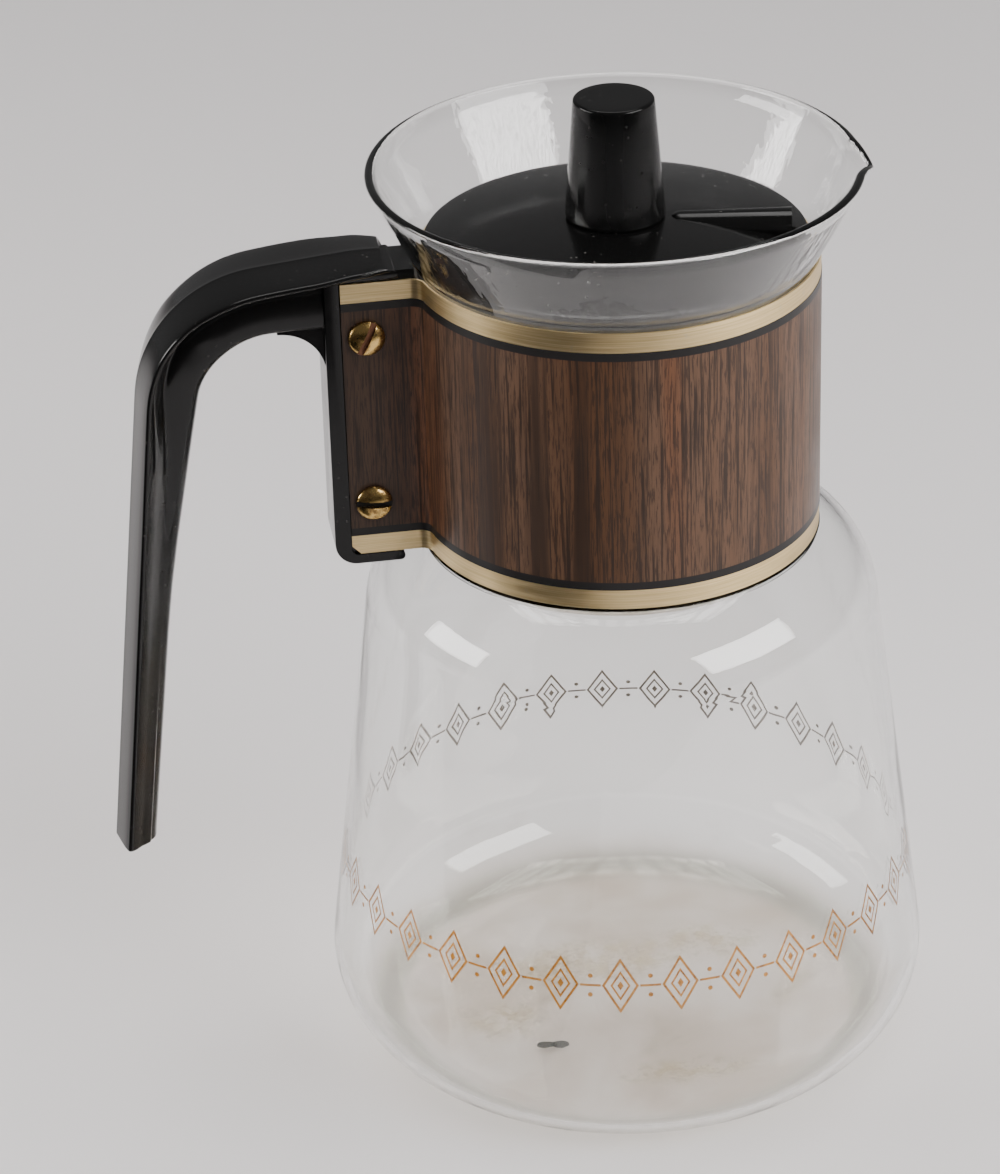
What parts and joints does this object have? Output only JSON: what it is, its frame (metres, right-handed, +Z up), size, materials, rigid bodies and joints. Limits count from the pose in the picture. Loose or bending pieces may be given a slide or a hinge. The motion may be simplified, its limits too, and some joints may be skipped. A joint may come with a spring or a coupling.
{
  "type": "glass coffee carafe",
  "caption": "Glass coffee carafe with a flared rim, a clamped neck band, a side handle and a lift-off domed lid with a knob and a hooded pouring slot.",
  "frame": {"origin": "on the vessel's axis, at the plane that the base rests on", "axes": "+Z up along the vessel's axis, the handle towards -X and the pouring lip near +X, turned 8 degrees towards -Y"},
  "size_m": [0.2112, 0.156, 0.2609],
  "materials": {
    "clear_glass": "clear, polished",
    "liner_plastic": "matte",
    "gilt_metal": "bright gilt, slightly worn",
    "woodgrain_print": "glossy printed wood grain",
    "handle_plastic": "glossy moulded phenolic",
    "lid_plastic": "glossy moulded phenolic",
    "knob_plastic": "satin moulded phenolic",
    "seal_rubber": "matte",
    "screw_metal": "aged plated steel"
  },
  "bodies": {
    "root": {"glass_vessel": "clear_glass", "neck_liner": "liner_plastic", "neck_band": "gilt_metal", "woodgrain_foil": "woodgrain_print", "handle": "handle_plastic", "handle_screw_upper": "screw_metal", "handle_screw_lower": "screw_metal", "handle_nut_upper": "screw_metal", "handle_nut_lower": "screw_metal", "handle_washer_upper": "screw_metal", "handle_washer_lower": "screw_metal"},
    "lid_ring": {"lid_seal_ring": "seal_rubber"},
    "lid": {"lid_cover": "lid_plastic", "lid_knob": "knob_plastic", "lid_knob_screw": "screw_metal", "lid_knob_washer": "screw_metal"}
  },
  "joints": [
    {"name": "lid_lift", "type": "slide", "parent": "root", "child": "lid_ring", "axis": [0, 0, 1], "range_m": [0, 0.06]},
    {"name": "lid_turn", "type": "hinge", "parent": "lid_ring", "child": "lid", "pos_m": [0, 0, 0.2225], "axis": [0, 0, 1], "continuous": true}
  ]
}
